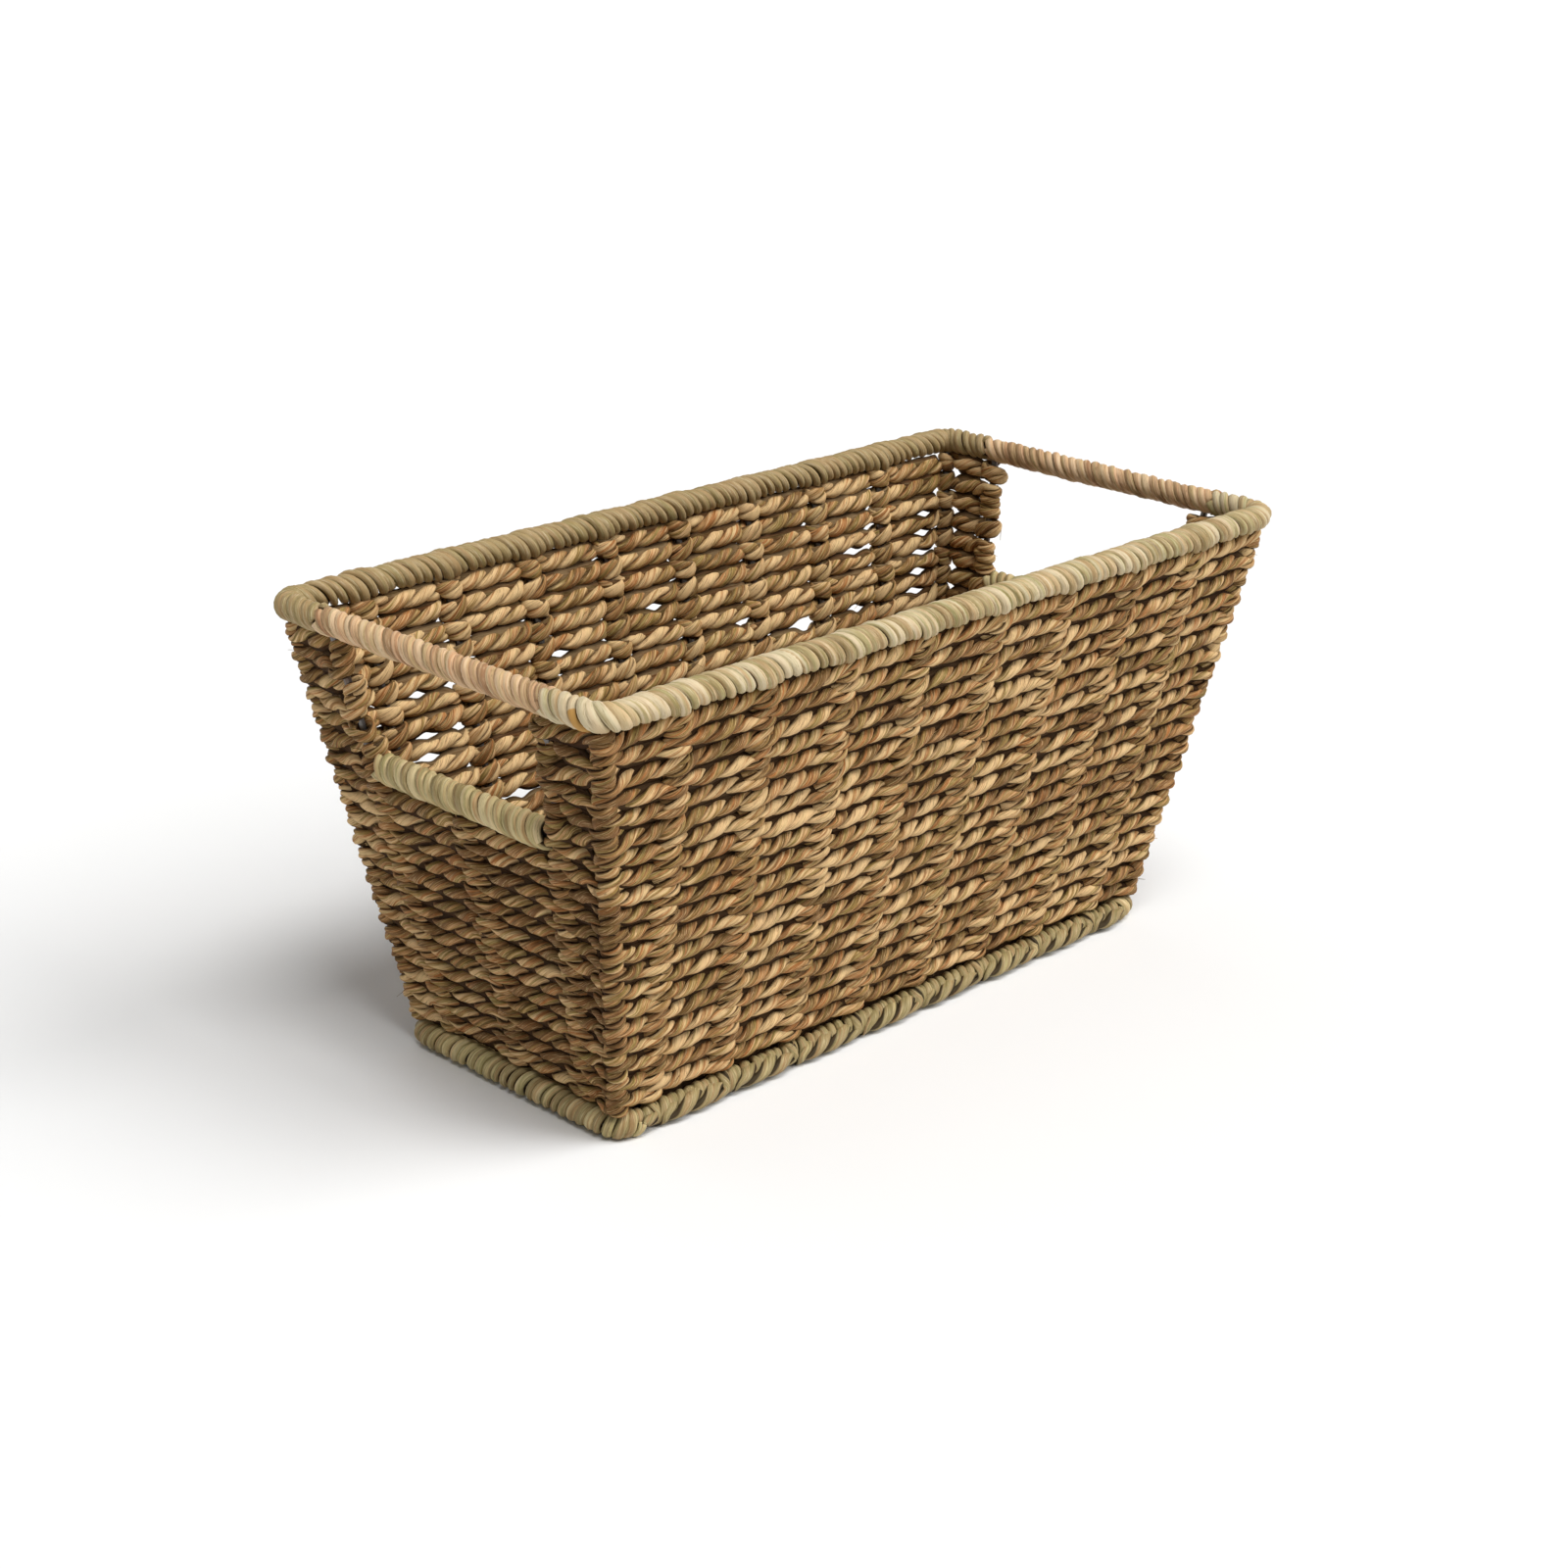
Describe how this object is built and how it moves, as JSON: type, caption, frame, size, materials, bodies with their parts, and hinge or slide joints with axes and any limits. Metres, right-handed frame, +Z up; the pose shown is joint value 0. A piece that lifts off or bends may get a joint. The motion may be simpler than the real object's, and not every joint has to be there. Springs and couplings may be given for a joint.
{
  "type": "seagrass storage basket",
  "caption": "Open rectangular storage basket that flares to the rim, woven from twisted seagrass cord on a hidden wire frame, with a cut-out handle in each short end.",
  "frame": {"origin": "centre of the basket's footprint, on the surface that it stands on", "axes": "+X along the length, +Y from the front long wall to the back one, +Z up to the rim"},
  "size_m": [0.31, 0.15, 0.15],
  "materials": {
    "frame_wire": "dull drawn steel wire",
    "seagrass_cord": "dry twisted seagrass, tan to brown, matt",
    "pale_winding": "pale straw strand, wound close, faint sheen",
    "tan_winding": "tan strand, wound close, faint sheen",
    "sage_winding": "grey-green strand, wound close, matt"
  },
  "bodies": {
    "root": {"back_wall_weave": "seagrass_cord", "base_corner_back_left": "sage_winding", "base_corner_back_right": "sage_winding", "base_corner_front_left": "sage_winding", "base_corner_front_right": "sage_winding", "base_winding_back": "sage_winding", "base_winding_front": "sage_winding", "base_winding_left": "sage_winding", "base_winding_right": "sage_winding", "base_wire": "frame_wire", "corner_stake_back_left": "frame_wire", "corner_stake_back_right": "frame_wire", "corner_stake_front_left": "frame_wire", "corner_stake_front_right": "frame_wire", "cross_hoop_1": "frame_wire", "cross_hoop_2": "frame_wire", "cross_hoop_3": "frame_wire", "cross_hoop_4": "frame_wire", "cross_hoop_5": "frame_wire", "cross_hoop_6": "frame_wire", "cross_hoop_7": "frame_wire", "cross_hoop_8": "frame_wire", "floor_weave": "seagrass_cord", "front_wall_weave": "seagrass_cord", "handle_hoop_back": "frame_wire", "handle_hoop_front": "frame_wire", "handle_winding_left": "tan_winding", "handle_winding_right": "tan_winding", "left_back_column_weave": "seagrass_cord", "left_end_weave": "seagrass_cord", "left_front_column_weave": "seagrass_cord", "middle_hoop": "frame_wire", "right_back_column_weave": "seagrass_cord", "right_end_weave": "seagrass_cord", "right_front_column_weave": "seagrass_cord", "rim_corner_back_left": "pale_winding", "rim_corner_back_right": "pale_winding", "rim_corner_front_left": "pale_winding", "rim_corner_front_right": "pale_winding", "rim_winding_back": "pale_winding", "rim_winding_front": "pale_winding", "rim_wire": "frame_wire", "sill_winding_left": "sage_winding", "sill_winding_right": "sage_winding", "sill_wire_left": "frame_wire", "sill_wire_right": "frame_wire"}
  },
  "joints": []
}
